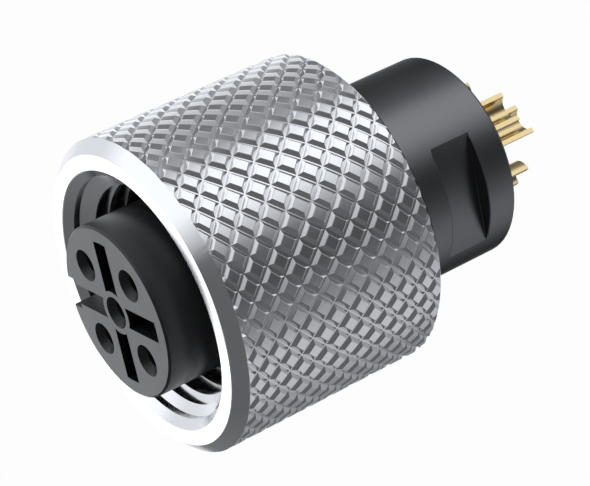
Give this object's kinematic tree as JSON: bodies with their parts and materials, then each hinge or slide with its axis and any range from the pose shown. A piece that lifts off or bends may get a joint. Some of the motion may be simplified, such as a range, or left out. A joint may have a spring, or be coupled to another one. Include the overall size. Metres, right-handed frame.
{
  "type": "circular cable connector",
  "caption": "Round five-pole cable connector with a freely turning knurled coupling nut, socket contacts and solder cups.",
  "frame": {"origin": "centre of the mating face of the plug, on the connector's axis", "axes": "+Z is the mating direction, along the connector's axis; the keyway points to -X and the wrench flats face +X and -X"},
  "size_m": [0.016, 0.016, 0.025],
  "materials": {
    "carrier_plastic": "satin moulded plastic, dark grey",
    "retainer_plastic": "satin moulded plastic, black",
    "sleeve_plastic": "satin moulded plastic, black",
    "seal_rubber": "matt",
    "nut_nickel": "bright nickel plate on brass",
    "contact_gold": "gold plate on copper alloy"
  },
  "bodies": {
    "connector_body": {"contact_carrier": "carrier_plastic", "contact_retainer": "retainer_plastic", "rear_sleeve": "sleeve_plastic", "seal_ring": "seal_rubber", "socket_contact_1": "contact_gold", "socket_contact_2": "contact_gold", "socket_contact_3": "contact_gold", "socket_contact_4": "contact_gold", "socket_contact_5": "contact_gold"},
    "nut": {"coupling_nut": "nut_nickel"}
  },
  "joints": [
    {"name": "nut_turn", "type": "hinge", "parent": "connector_body", "child": "nut", "pos_m": [0, 0, -0.0072], "axis": [0, 0, 1], "continuous": true}
  ]
}
